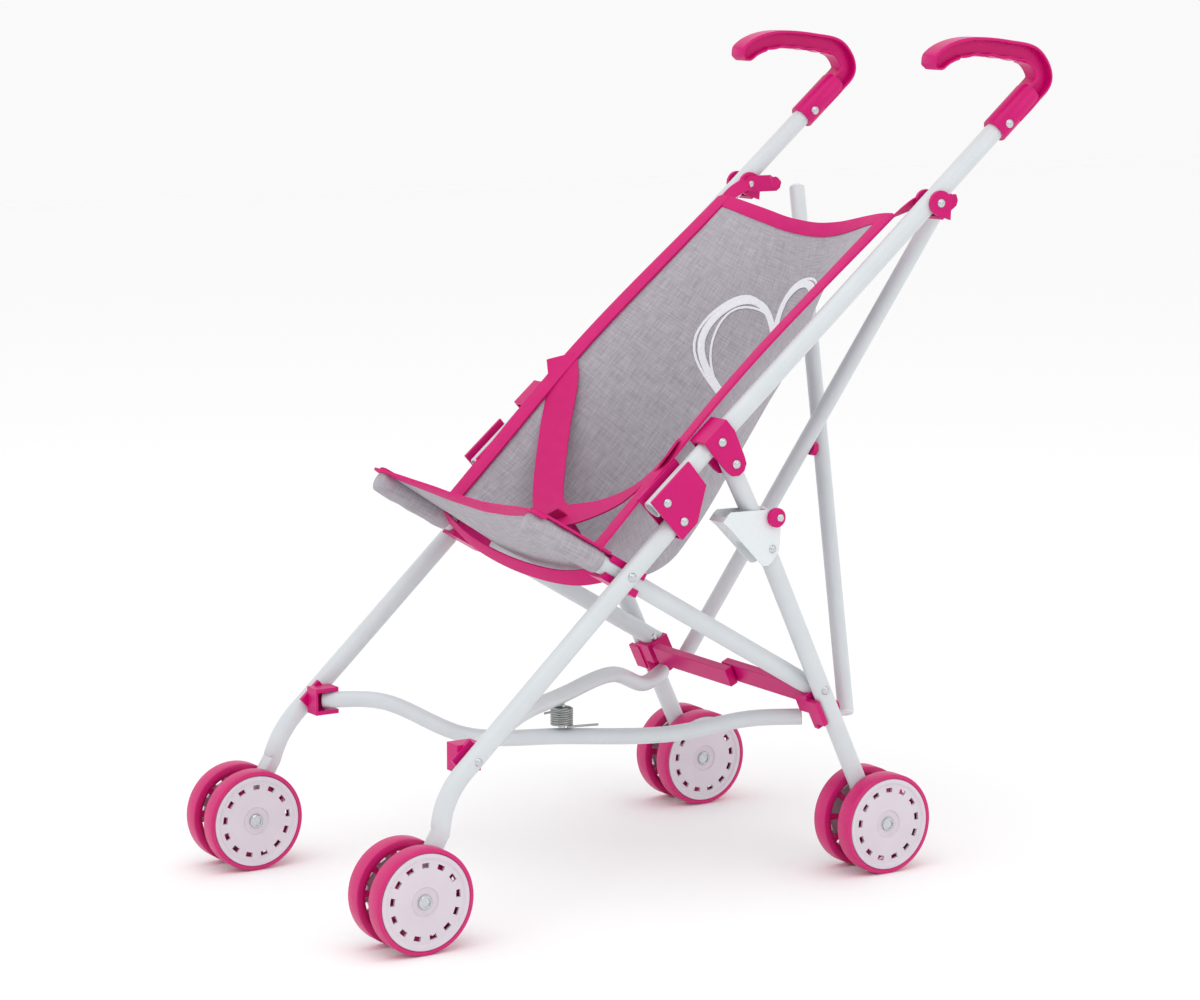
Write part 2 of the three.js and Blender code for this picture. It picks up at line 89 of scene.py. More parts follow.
world = bpy.data.worlds.new("white_room")
world.use_nodes = True
world.node_tree.nodes["Background"].inputs["Color"].default_value = (1, 1, 1, 1)
world.node_tree.nodes["Background"].inputs["Strength"].default_value = 0.95
bpy.context.scene.world = world
for name, place, size, power in (("top_softbox", (0.5, -0.7, 2.1), 1.8, 9),
                                 ("left_softbox", (2.1, 0.9, 1.3), 1.2, 4),
                                 ("front_softbox", (-1.2, -2.0, 1.2), 1.4, 1.8)):
    lamp = bpy.data.lights.new(name, "AREA")
    lamp.size, lamp.energy = size, power
    stand = bpy.data.objects.new(name, lamp)
    stand.location = place
    stand.rotation_euler = (Vector((0, 0, 0.25)) - Vector(place)).to_track_quat("-Z", "Y").to_euler()
    bpy.context.scene.collection.objects.link(stand)

camera = bpy.data.objects.new("camera", bpy.data.cameras.new("camera"))
camera.location = (1.9356, -1.2147, 0.6118)
camera.rotation_euler = (math.radians(80.92), 0, math.radians(58.3))
camera.data.lens, camera.data.sensor_width = 103.2, 36
bpy.context.scene.collection.objects.link(camera)
bpy.context.scene.camera = camera
bpy.context.scene.view_settings.view_transform = "Standard"


# ---------------------------------------------------------------- front legs
# One length of 12.7 mm steel tube a side, bent forward near the wheel, drilled for its rivets
# and powder coated white. The cut ends keep a thin rim.
SIDES = (("left", 1), ("right", -1))
TUBE_R, TUBE_WALL, BRACE_R = 6.35, 1.1, 5.5
SIDE_X, RAIL_X, FRONT_WHEEL_X, REAR_WHEEL_X = 112, 98.5, 117.5, 112
HINGE, CLIP_RIVET, RAIL_PIVOT = (-46, 264.6), (-33.3, 251.6), (-70.3, 218.3)
FRONT_BRACE, FRONT_AXLE = (-183.4, 112.3), (-232, 34)


def at(x, y, z):
    """A point of the drawing in mm, whose zero is 2.5 mm behind the frame's, in metres."""
    return Vector((x, y + 2.5, z)) / 1000


def angle_to(a, b):
    return math.atan2(b[1] - a[1], b[0] - a[0])


def along(point, angle, distance):
    return point[0] + distance * math.cos(angle), point[1] + distance * math.sin(angle)


def between(a, b, share):
    return a[0] + (b[0] - a[0]) * share, a[1] + (b[1] - a[1]) * share


def make_piece(name, vertices, faces, body, slot, finish, stands_for=(), crease=35):
    """A mesh piece in the frame, smooth but for edges sharper than crease degrees."""
    mesh = bpy.data.meshes.new(name)
    mesh.from_pydata([tuple(v) for v in vertices], [], faces)
    shape = bmesh.new()
    shape.from_mesh(mesh)
    bmesh.ops.recalc_face_normals(shape, faces=shape.faces)
    shape.to_mesh(mesh)
    shape.free()
    mesh.shade_smooth()
    mesh.set_sharp_from_angle(angle=math.radians(crease))
    mesh.materials.append(finish)
    piece = bpy.data.objects.new(name, mesh)
    bpy.context.scene.collection.objects.link(piece)
    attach(piece, body)
    if stands_for:
        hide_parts(*stands_for)
    return piece


def smooth_path(points, count):
    """Points evenly along a smooth curve through the given ones."""
    ends = [points[0] * 2 - points[1], *points, points[-1] * 2 - points[-2]]
    fine = []
    for p0, p1, p2, p3 in zip(ends, ends[1:], ends[2:], ends[3:]):
        t1 = math.sqrt((p1 - p0).length)
        t2 = t1 + math.sqrt((p2 - p1).length)
        t3 = t2 + math.sqrt((p3 - p2).length)
        for step in range(24):
            t = t1 + (t2 - t1) * step / 24
            a1 = p0 * ((t1 - t) / t1) + p1 * (t / t1)
            a2 = p1 * ((t2 - t) / (t2 - t1)) + p2 * ((t - t1) / (t2 - t1))
            a3 = p2 * ((t3 - t) / (t3 - t2)) + p3 * ((t - t2) / (t3 - t2))
            b1 = a1 * ((t2 - t) / t2) + a2 * (t / t2)
            b2 = a2 * ((t3 - t) / (t3 - t1)) + a3 * ((t - t1) / (t3 - t1))
            fine.append(b1 * ((t2 - t) / (t2 - t1)) + b2 * ((t - t1) / (t2 - t1)))
    fine.append(points[-1])
    lengths = [0]
    for a, b in zip(fine, fine[1:]):
        lengths.append(lengths[-1] + (b - a).length)
    made, k = [], 0
    for i in range(count + 1):
        goal = lengths[-1] * i / count
        while k < len(fine) - 2 and lengths[k + 1] < goal:
            k += 1
        share = (goal - lengths[k]) / max(lengths[k + 1] - lengths[k], 1e-9)
        made.append(fine[k].lerp(fine[k + 1], min(share, 1)))
    return made


def tangents(path):
    last = len(path) - 1
    return [(path[min(i + 1, last)] - path[max(i - 1, 0)]).normalized() for i in range(last + 1)]


def sweep(stations, section):
    """Carries a section, a list of (across, up) for a radius, along stations of
    (point, direction, radius), and closes both ends."""
    direction = stations[0][1]
    across = direction.orthogonal().normalized()
    vertices, faces = [], []
    count = len(section(1))
    for point, ahead, radius in stations:
        across = direction.rotation_difference(ahead) @ across
        direction = ahead
        up = direction.cross(across)
        vertices += [point + across * a + up * b for a, b in section(radius)]
    for i in range(len(stations) - 1):
        for j in range(count):
            k = (j + 1) % count
            faces.append((i * count + j, i * count + k, (i + 1) * count + k, (i + 1) * count + j))
    faces.append(tuple(reversed(range(count))))
    faces.append(tuple(range((len(stations) - 1) * count, len(stations) * count)))
    return vertices, faces


def circle(radius, sides=32):
    return [(radius * math.cos(math.tau * i / sides), radius * math.sin(math.tau * i / sides))
            for i in range(sides)]


BORE_DEPTH, EDGE_BREAK = 0.012, 0.0003


def open_tube(path, radius):
    """A tube along a path in metres, with its wall showing at both ends."""
    ahead = tangents(path)
    inner, rim, outer = (radius / 1000 - t for t in (TUBE_WALL / 1000, EDGE_BREAK, 0))
    start, end, a, b = path[0], path[-1], ahead[0], ahead[-1]
    stations = [(start + a * BORE_DEPTH, a, inner), (start, a, inner), (start, a, rim),
                (start + a * EDGE_BREAK, a, outer)]
    stations += [(p, t, outer) for p, t in zip(path[1:-1], ahead[1:-1])]
    stations += [(end - b * EDGE_BREAK, b, outer), (end, b, rim), (end, b, inner),
                 (end - b * BORE_DEPTH, b, inner)]
    return sweep(stations, circle)


# Powder-coated steel: a thick, even paint film baked on bare tube. It is satin, with the
# faint waviness of orange peel about 1.5 mm across, and no metal shows.
powder_coat, tree, shader = new_finish("white_powder_coated_steel")
place = add_node(tree, "ShaderNodeTexCoord").outputs["Object"]
cloudy = add_node(tree, "ShaderNodeTexNoise", {"Vector": place, "Scale": 45, "Detail": 3})
peel = add_node(tree, "ShaderNodeTexNoise", {"Vector": place, "Scale": 650, "Detail": 2})
tint = add_node(tree, "ShaderNodeMix",
                {0: cloudy.outputs["Fac"], 6: linear("#c9ced2"), 7: linear("#d4d9dc")}, data_type="RGBA")
gloss = add_node(tree, "ShaderNodeMapRange", {"Value": peel.outputs["Fac"], "To Min": 0.25, "To Max": 0.36})
waves = add_node(tree, "ShaderNodeBump",
                 {"Height": peel.outputs["Fac"], "Strength": 0.06, "Distance": 0.0004})
tree.links.new(tint.outputs[2], shader.inputs["Base Color"])
tree.links.new(gloss.outputs["Result"], shader.inputs["Roughness"])
tree.links.new(waves.outputs["Normal"], shader.inputs["Normal"])
shader.inputs["IOR"].default_value = 1.5

LEG_ANGLE = angle_to(RAIL_PIVOT, CLIP_RIVET)
bend_start = along(FRONT_BRACE, LEG_ANGLE, -10)
bend_end = between(FRONT_AXLE, bend_start, 0.52)
corner = along(FRONT_BRACE, LEG_ANGLE, -32)
foot = along(FRONT_AXLE, angle_to(bend_end, FRONT_AXLE), 7)
for side, s in SIDES:
    path = [at(s * SIDE_X, *between(along(CLIP_RIVET, LEG_ANGLE, 9), bend_start, i / 6)) for i in range(6)]
    a, b, c = (at(s * SIDE_X, *bend_start), at(s * (SIDE_X + 1), *corner),
               at(s * (FRONT_WHEEL_X - 0.3), *bend_end))
    for i in range(17):
        t = i / 16
        path.append(a * (1 - t) ** 2 + b * (2 * t * (1 - t)) + c * t ** 2)
    path.append(at(s * FRONT_WHEEL_X, *foot))
    make_piece(f"{side}_front_leg_tube", *open_tube(path, TUBE_R), f"{side}_front", "white_tube",
               powder_coat, [f"{side}_front_leg"])


# ---------------------------------------------------------------- handle tubes
# Straight tube from the square clip up into the hook handle, in the same coated steel.
HANDLE_ANGLE = math.radians(40.8)


def straight(x1, point1, x2, point2):
    return [at(x1, *point1).lerp(at(x2, *point2), i / 8) for i in range(9)]


for side, s in SIDES:
    path = straight(s * SIDE_X, along(HINGE, HANDLE_ANGLE, -8), s * SIDE_X, along(HINGE, HANDLE_ANGLE, 370))
    make_piece(f"{side}_handle_steel", *open_tube(path, TUBE_R), f"{side}_handle", "white_tube", powder_coat,
               [f"{side}_handle_tube"])


# ---------------------------------------------------------------- rear legs and seat rails
# The rear leg is two tubes that meet inside the white latch. The seat rail is riveted to it low
# down and to the front leg at the seat, and its front end carries the cloth.
LEG_TOP, KNEE, REAR_AXLE, REAR_JOINT = (6.5, 285.5), (35.9, 227.4), (124.4, 34), (81, 128)
REAR_ANGLE, RAIL_ANGLE = angle_to(REAR_AXLE, LEG_TOP), angle_to(REAR_JOINT, RAIL_PIVOT)
for side, s in SIDES:
    for name, node, x, top, low in (
            ("rear_leg_top_tube", "rear_leg_upper", SIDE_X, along(LEG_TOP, REAR_ANGLE, 5),
             along(KNEE, REAR_ANGLE, 13)),
            ("rear_leg_tube", "rear_leg", SIDE_X, along(KNEE, REAR_ANGLE, 12),
             along(REAR_AXLE, REAR_ANGLE, -7)),
            ("seat_rail_tube", "seat_rail", RAIL_X, along(RAIL_PIVOT, RAIL_ANGLE, 74),
             along(REAR_JOINT, RAIL_ANGLE, -8))):
        make_piece(f"{side}_{name}", *open_tube(straight(s * x, top, s * x, low), TUBE_R), f"{side}_rear",
                   "white_tube", powder_coat, [f"{side}_{node}"])


# ---------------------------------------------------------------- back braces
# Two straight 11 mm tubes crossed behind the seat, one layer behind the other, with a moulded
# white plug pressed into each end. A pink spacer keeps them apart at the crossing.
BRACE_TOP, BRACE_FOOT, BACK_LAYER = (196, 445), (110, 106), 8
BRACE_SLOPE = angle_to(BRACE_TOP, BRACE_FOOT)


def brace_end(point, layer):
    return point[0] - math.sin(BRACE_SLOPE) * layer, point[1] + math.cos(BRACE_SLOPE) * layer


def lathe(profile, centre, direction, sides=32, turned_to=None):
    """Turns (radius, distance along) points in mm, closed into a loop, about a line through centre."""
    direction = direction.normalized()
    across = (turned_to or direction.orthogonal()).normalized()
    up = direction.cross(across)
    vertices = [centre + (across * math.cos(a) + up * math.sin(a)) * (r / 1000) + direction * (h / 1000)
                for a in (math.tau * i / sides for i in range(sides)) for r, h in profile]
    count = len(profile)
    faces = [(i * count + j, i * count + (j + 1) % count, (i + 1) % sides * count + (j + 1) % count,
              (i + 1) % sides * count + j) for i in range(sides) for j in range(count)]
    return vertices, faces


def merge(*shapes):
    """Several closed shapes as one list of vertices and faces."""
    vertices, faces = [], []
    for some, more in shapes:
        start = len(vertices)
        vertices += some
        faces += [tuple(i + start for i in face) for face in more]
    return vertices, faces


# ABS plugs: glossy, a touch warmer than the paint.
plug_white, tree, shader = new_finish("white_moulded_ABS")
place = add_node(tree, "ShaderNodeTexCoord").outputs["Object"]
grain = add_node(tree, "ShaderNodeTexNoise", {"Vector": place, "Scale": 300, "Detail": 2})
gloss = add_node(tree, "ShaderNodeMapRange", {"Value": grain.outputs["Fac"], "To Min": 0.3, "To Max": 0.42})
tree.links.new(gloss.outputs["Result"], shader.inputs["Roughness"])
shader.inputs["Base Color"].default_value = linear("#e2e5e6")
shader.inputs["IOR"].default_value = 1.53
PLUG = [(0.9, -9), (4.2, -9), (4.2, 0), (5.4, 0), (5.4, 0.8), (4.6, 1.6), (2.2, 1.9), (0.9, 1.9)]
for side, s in SIDES:
    layer = -BACK_LAYER * s
    top, low = brace_end(BRACE_TOP, layer), brace_end(BRACE_FOOT, layer)
    path = straight(s * 96, top, s * -90, low)
    make_piece(f"{side}_back_brace_tube", *open_tube(path, BRACE_R), f"{side}_back_brace", "white_tube",
               powder_coat, [f"{side}_back_brace"])
    ahead = (path[-1] - path[0]).normalized()
    make_piece(f"{side}_back_brace_plugs",
               *merge(lathe(PLUG, path[0], -ahead), lathe(PLUG, path[-1], ahead)),
               f"{side}_back_brace", "white_tube", plug_white)


# ---------------------------------------------------------------- bottom braces
# Two bent 11 mm tubes from each front leg to the opposite rear leg, crossing on a bolt.
FRONT_LUG, REAR_LUG = (-181.5, 112), (84, 104)
for side, s in SIDES:
    middle = 118 if s > 0 else 90
    path = smooth_path([at(s * x, y, z) for x, y, z in (
        (97, *FRONT_LUG), (70, -150, 112), (36, -105, middle), (0, -52, middle),
        (-36, 10, middle + 1), (-66, 55, 102), (-86.5, *REAR_LUG))], 56)
    make_piece(f"{side}_bottom_brace_tube", *open_tube(path, BRACE_R), f"{side}_bottom_brace", "white_tube",
               powder_coat, [f"{side}_bottom_brace"])


# ---------------------------------------------------------------- moulded joints
# Clips, brackets and spacers in pink polypropylene, injection moulded with 0.5 mm rounded
# edges. They are riveted through the tubes.
# Moulded PP: glossy from a polished mould, slightly translucent, with faint flow marks.
pink_pp, tree, shader = new_finish("pink_moulded_polypropylene")
place = add_node(tree, "ShaderNodeTexCoord").outputs["Object"]
flow = add_node(tree, "ShaderNodeTexNoise", {"Vector": place, "Scale": 60, "Detail": 3})
grain = add_node(tree, "ShaderNodeTexNoise", {"Vector": place, "Scale": 900, "Detail": 2})
tint = add_node(tree, "ShaderNodeMix", {0: flow.outputs["Fac"], 6: linear("#c4006a"), 7: linear("#cf0c72")},
                data_type="RGBA")
gloss = add_node(tree, "ShaderNodeMapRange", {"Value": flow.outputs["Fac"], "To Min": 0.26, "To Max": 0.4})
skin = add_node(tree, "ShaderNodeBump",
                {"Height": grain.outputs["Fac"], "Strength": 0.05, "Distance": 0.0003})
tree.links.new(tint.outputs[2], shader.inputs["Base Color"])
tree.links.new(gloss.outputs["Result"], shader.inputs["Roughness"])
tree.links.new(skin.outputs["Normal"], shader.inputs["Normal"])
shader.inputs["IOR"].default_value = 1.49
shader.inputs["Specular IOR Level"].default_value = 0.25


def moulded(node, body, slot, finish, edge=0.5):
    """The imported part's own shape with the rounded edges of a moulding."""
    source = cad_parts[node].data
    shape = bmesh.new()
    shape.from_mesh(source)
    bmesh.ops.remove_doubles(shape, verts=shape.verts, dist=2e-6)
    bmesh.ops.dissolve_limit(shape, angle_limit=math.radians(2), verts=shape.verts, edges=shape.edges)
    vertices = [v.co.copy() for v in shape.verts]
    shape.verts.index_update()
    faces = [tuple(v.index for v in face.verts) for face in shape.faces]
    shape.free()
    piece = make_piece(f"{node}_moulding", vertices, faces, body, slot, finish, [node], crease=50)
    rounded = piece.modifiers.new("rounded_edges", "BEVEL")
    rounded.width, rounded.segments, rounded.limit_method = edge / 1000, 2, "ANGLE"
    rounded.angle_limit = math.radians(35)
    rounded.harden_normals = True
    return piece


for side, s in SIDES:
    for node, body in (("hinge_clip", "front"), ("rear_leg_bracket", "handle"),
                       ("top_bracket", "top_bracket"), ("rail_bracket", "rear"),
                       ("front_bracket", "front_bracket"), ("rear_bracket", "rear")):
        moulded(f"{side}_{node}", f"{side}_{body}", "pink_plastic", pink_pp)
moulded("back_cross_spacer", "left_back_brace", "pink_plastic", pink_pp)


# ---------------------------------------------------------------- rivets and screws
# Domed rivets of zinc-plated steel, set through tube and moulding. Each shows a bright round
# head with a small set mark on its crown.
# Zinc plate: bright and bluish, with fine clouding.
zinc, tree, shader = new_finish("zinc_plated_steel")
place = add_node(tree, "ShaderNodeTexCoord").outputs["Object"]
cloud = add_node(tree, "ShaderNodeTexNoise", {"Vector": place, "Scale": 700, "Detail": 3})
tint = add_node(tree, "ShaderNodeMix", {0: cloud.outputs["Fac"], 6: linear("#b9bcc0"), 7: linear("#d5d8da")},
                data_type="RGBA")
gloss = add_node(tree, "ShaderNodeMapRange", {"Value": cloud.outputs["Fac"], "To Min": 0.18, "To Max": 0.34})
tree.links.new(tint.outputs[2], shader.inputs["Base Color"])
tree.links.new(gloss.outputs["Result"], shader.inputs["Roughness"])
shader.inputs["Metallic"].default_value = 1

RIVET = [(0, -1), (2.9, -1), (3.1, 0), (3.1, 0.25), (2.85, 0.75), (2.3, 1.25), (1.6, 1.6),
         (1.0, 1.72), (0.8, 1.5), (0, 1.5)]
PLATE_OUT, PLATE_IN, PLATE = SIDE_X + TUBE_R + 0.35, SIDE_X - TUBE_R - 0.35, 2.4


def rivet(x, point, outward, scale=1.0):
    return lathe([(r * scale, h * scale) for r, h in RIVET], at(x, *point), Vector((outward, 0, 0)), 24)


TOP_PIVOT = (168, 447)
low_handle_rivet, screw = along(HINGE, HANDLE_ANGLE, 55), along(HINGE, HANDLE_ANGLE, 357)
for side, s in SIDES:
    outer, inner = s * (PLATE_OUT + PLATE), s * (PLATE_IN - PLATE)
    tube_out = s * (SIDE_X + TUBE_R - 0.5)
    make_piece(f"{side}_clip_rivets", *merge(*(
        rivet(x, point, way) for x, way in ((outer, s), (inner, -s)) for point in (HINGE, CLIP_RIVET))),
        f"{side}_front", "bright_steel", zinc)
    make_piece(f"{side}_leg_bracket_rivets", *merge(*(
        rivet(x, point, way) for x, way in ((outer, s), (inner, -s))
        for point in (low_handle_rivet, LEG_TOP))),
        f"{side}_handle", "bright_steel", zinc)
    make_piece(f"{side}_top_bracket_rivet",
               *merge(rivet(outer, TOP_PIVOT, s), rivet(inner, TOP_PIVOT, -s)),
               f"{side}_top_bracket", "bright_steel", zinc)
    make_piece(f"{side}_handle_screw", *merge(
        rivet(s * (SIDE_X + 8.6), screw, s), rivet(s * (SIDE_X - 8.6), screw, -s)),
        f"{side}_handle", "bright_steel", zinc)
    make_piece(f"{side}_leg_rivets", *merge(
        rivet(tube_out, RAIL_PIVOT, s), rivet(tube_out, FRONT_BRACE, s, 0.9)),
        f"{side}_front", "bright_steel", zinc)
    make_piece(f"{side}_rear_leg_rivets", *merge(
        rivet(tube_out, REAR_JOINT, s), rivet(s * (RAIL_X - TUBE_R + 0.5), REAR_JOINT, -s)),
        f"{side}_rear", "bright_steel", zinc)


# ---------------------------------------------------------------- latches
# A moulded white channel hooks over the knee of each rear leg. A pink knob on its upper rear
# corner turns on a rivet, and a thumb tab joins the two cheeks at the tip.
# Moulded acetal: cool white, satin.
acetal, tree, shader = new_finish("white_moulded_acetal")
place = add_node(tree, "ShaderNodeTexCoord").outputs["Object"]
grain = add_node(tree, "ShaderNodeTexNoise", {"Vector": place, "Scale": 500, "Detail": 3})
tint = add_node(tree, "ShaderNodeMix", {0: grain.outputs["Fac"], 6: linear("#d8dee0"), 7: linear("#e2e7e9")},
                data_type="RGBA")
tree.links.new(tint.outputs[2], shader.inputs["Base Color"])
shader.inputs["Roughness"].default_value = 0.45
shader.inputs["IOR"].default_value = 1.48
ROLLER = (37.3, 248.3)
KNOB = [(0, 0), (5.6, 0), (6.4, 0.7), (6.4, 3.4), (5.7, 4.2), (0, 4.4)]
for side, s in SIDES:
    moulded(f"{side}_latch", f"{side}_latch", "latch_white", acetal, 0.4)
    moulded(f"{side}_latch_roller", f"{side}_latch", "pink_plastic", pink_pp, 0.3)
    face = s * (PLATE_OUT + 1.5)
    make_piece(f"{side}_latch_knob", *lathe(KNOB, at(face, *ROLLER), Vector((s, 0, 0)), 40), f"{side}_latch",
               "pink_plastic", pink_pp)
    make_piece(f"{side}_latch_rivets", *merge(
        rivet(face + s * 4.3, (ROLLER[0] + 1.6, ROLLER[1]), s, 0.85), rivet(face, KNEE, s, 0.9)),
        f"{side}_latch", "bright_steel", zinc)


# ---------------------------------------------------------------- hook handles
# Pink injection-moulded polypropylene hooks: a round socket screwed on the tube, then an
# I-section grip whose hollow sides show a web between an outer flange and a scalloped inner one.
GRIP_LINE = [along(HINGE, HANDLE_ANGLE, 366), along(HINGE, HANDLE_ANGLE, 384), (255, 527),
             (247, 541), (224, 546.5), (192, 548.5), (174, 544), (163.5, 536.5)]
SOCKET = [(6.5, -15.5), (8.6, -15.5), (9, -14.9), (9, 20), (8.2, 23), (6.5, 24)]
GRIP_HALF, GRIP_SIDE, WEB_HALF, GRIP_STEPS = 6.5, 7.8, 2.6, 96
for side, s in SIDES:
    path = smooth_path([at(s * SIDE_X, *p) for p in GRIP_LINE], GRIP_STEPS)
    ahead = tangents(path)
    vertices, faces = [], []
    for i, (point, direction) in enumerate(zip(path, ahead)):
        share = i / GRIP_STEPS
        end = min(i, GRIP_STEPS - i) / 3
        closed = max(0, 1 - end)
        web = WEB_HALF + (GRIP_SIDE - WEB_HALF) * closed
        out = direction.cross(Vector((1, 0, 0)))
        scallop = 0.9 * abs(math.sin(math.pi * (share - 0.42) / 0.105)) if 0.42 < share < 0.84 else 0.9
        tip = math.sqrt(max(0.15, 1 - max(0, (share - 0.955) / 0.045) ** 2))
        high, low = GRIP_HALF * tip, (-GRIP_HALF + 0.9 - scallop) * tip
        ring = [(-GRIP_SIDE + 0.8, high), (GRIP_SIDE - 0.8, high), (GRIP_SIDE, high - 0.8),
                (GRIP_SIDE, high - 2.0), (web, high - 2.6), (web, low + 2.2),
                (GRIP_SIDE - 1, low + 1.7), (GRIP_SIDE - 1, low + 0.7), (GRIP_SIDE - 1.8, low),
                (-GRIP_SIDE + 1.8, low), (-GRIP_SIDE + 1, low + 0.7), (-GRIP_SIDE + 1, low + 1.7),
                (-web, low + 2.2), (-web, high - 2.6), (-GRIP_SIDE, high - 2.0),
                (-GRIP_SIDE, high - 0.8)]
        vertices += [point + Vector((x / 1000, 0, 0)) + out * (h / 1000) for x, h in ring]
    count = len(ring)
    for i in range(GRIP_STEPS):
        faces += [(i * count + j, i * count + (j + 1) % count, (i + 1) * count + (j + 1) % count,
                   (i + 1) * count + j) for j in range(count)]
    faces += [tuple(range(count)), tuple(range(GRIP_STEPS * count, (GRIP_STEPS + 1) * count))]
    axis = Vector((0, math.cos(HANDLE_ANGLE), math.sin(HANDLE_ANGLE)))
    socket = lathe(SOCKET, at(s * SIDE_X, *along(HINGE, HANDLE_ANGLE, 364.5)), axis, 40)
    make_piece(f"{side}_hook_handle", *merge((vertices, faces), socket), f"{side}_handle",
               "pink_plastic", pink_pp, [f"{side}_handle_grip"], crease=40)


# ---------------------------------------------------------------- wheels
# Twin wheels on one pin: a pink moulded wheel with ten windows in its web, and a pale disc
# snapped into the side away from the leg, with thirteen slots and a raised rim.
TWIN = 13.5


def pierced_disc(rings, windows, low_ring, share, back, centre, outward):
    """A disc from (radius, height) rings on its face, flat at the back, with through windows
    in the band after ring low_ring. share is the part of each pitch that is open."""
    open_steps, solid_steps = 3, 3
    angles = []
    for w in range(windows):
        start = math.tau * w / windows
        pitch = math.tau / windows
        angles += [start + pitch * share * i / open_steps for i in range(open_steps)]
        angles += [start + pitch * (share + (1 - share) * i / solid_steps) for i in range(solid_steps)]
    columns, count = len(angles), len(rings)

    def ring_point(a, r, h):
        return centre + Vector((outward * h, r * math.cos(a), r * math.sin(a))) / 1000
    vertices = [ring_point(a, r, h) for a in angles for r, h in rings]
    vertices += [ring_point(a, r, back) for a in angles for r, h in rings]
    under = columns * count
    faces = []
    for c in range(columns):
        d = (c + 1) % columns
        for k in range(count - 1):
            quad = (c * count + k, c * count + k + 1, d * count + k + 1, d * count + k)
            if k == low_ring and c % (open_steps + solid_steps) < open_steps:
                faces.append((quad[0], quad[3], quad[3] + under, quad[0] + under))
                faces.append((quad[1], quad[2], quad[2] + under, quad[1] + under))
                if c % (open_steps + solid_steps) == 0:
                    faces.append((quad[0], quad[1], quad[1] + under, quad[0] + under))
                if c % (open_steps + solid_steps) == open_steps - 1:
                    faces.append((quad[3], quad[2], quad[2] + under, quad[3] + under))
            else:
                faces.append(quad)
                faces.append(tuple(i + under for i in reversed(quad)))
        for k in (0, count - 1):
            faces.append((c * count + k, d * count + k, d * count + k + under, c * count + k + under))
    return vertices, faces


# Wheel PP: the same pink, a little duller, with fine scuffing in its gloss and surface.
wheel_pp, tree, shader = new_finish("pink_moulded_wheel_polypropylene")
place = add_node(tree, "ShaderNodeTexCoord").outputs["Object"]
flow = add_node(tree, "ShaderNodeTexNoise", {"Vector": place, "Scale": 80, "Detail": 4})
scuff = add_node(tree, "ShaderNodeTexNoise", {"Vector": place, "Scale": 420, "Detail": 5, "Roughness": 0.7})
tint = add_node(tree, "ShaderNodeMix", {0: flow.outputs["Fac"], 6: linear("#c40a66"), 7: linear("#d01672")},
                data_type="RGBA")
gloss = add_node(tree, "ShaderNodeMapRange", {"Value": scuff.outputs["Fac"], "To Min": 0.3, "To Max": 0.5})
skin = add_node(tree, "ShaderNodeBump",
                {"Height": scuff.outputs["Fac"], "Strength": 0.08, "Distance": 0.0003})
tree.links.new(tint.outputs[2], shader.inputs["Base Color"])
tree.links.new(gloss.outputs["Result"], shader.inputs["Roughness"])
tree.links.new(skin.outputs["Normal"], shader.inputs["Normal"])
shader.inputs["IOR"].default_value = 1.49

# Disc PP: pale and slightly pink, since the mould has taken some of the wheel's colour.
disc_pp, tree, shader = new_finish("pale_moulded_disc_polypropylene")
place = add_node(tree, "ShaderNodeTexCoord").outputs["Object"]
flow = add_node(tree, "ShaderNodeTexNoise", {"Vector": place, "Scale": 50, "Detail": 3})
tint = add_node(tree, "ShaderNodeMix", {0: flow.outputs["Fac"], 6: linear("#cfc5cf"), 7: linear("#dad0d9")},
                data_type="RGBA")
gloss = add_node(tree, "ShaderNodeMapRange", {"Value": flow.outputs["Fac"], "To Min": 0.3, "To Max": 0.42})
tree.links.new(tint.outputs[2], shader.inputs["Base Color"])
tree.links.new(gloss.outputs["Result"], shader.inputs["Roughness"])
shader.inputs["IOR"].default_value = 1.49

TREAD = [(29.6, -6.2), (33, -6.2), (33.7, -5.9), (34, -5), (34, 5), (33.7, 5.9), (33, 6.2), (31.3, 6.2),
         (31.0, 5.8), (31.0, -1.2), (29.6, -1.2)]
HUB = [(3.3, -6.2), (7.6, -6.2), (8, -5.8), (8, -0.6), (3.3, -0.6)]
AXLE_CAP = [(0, -TWIN), (3, -TWIN), (3, 4.0), (4.6, 4.0), (4.9, 4.6), (4.6, 5.8), (3.9, 6.4),
            (3.1, 6.4), (2.8, 5.4), (0, 5.2)]
WEB_RINGS = [(7.5, -1.2), (15, -1.2), (26.5, -1.2), (30, -1.2)]
DISC_RINGS = [(3.4, 4.4), (8.6, 4.4), (9.6, 5.5), (21.6, 5.5), (24.8, 5.5), (26.8, 5.5), (28.2, 6.6),
              (30.2, 6.7), (30.7, 6.2)]
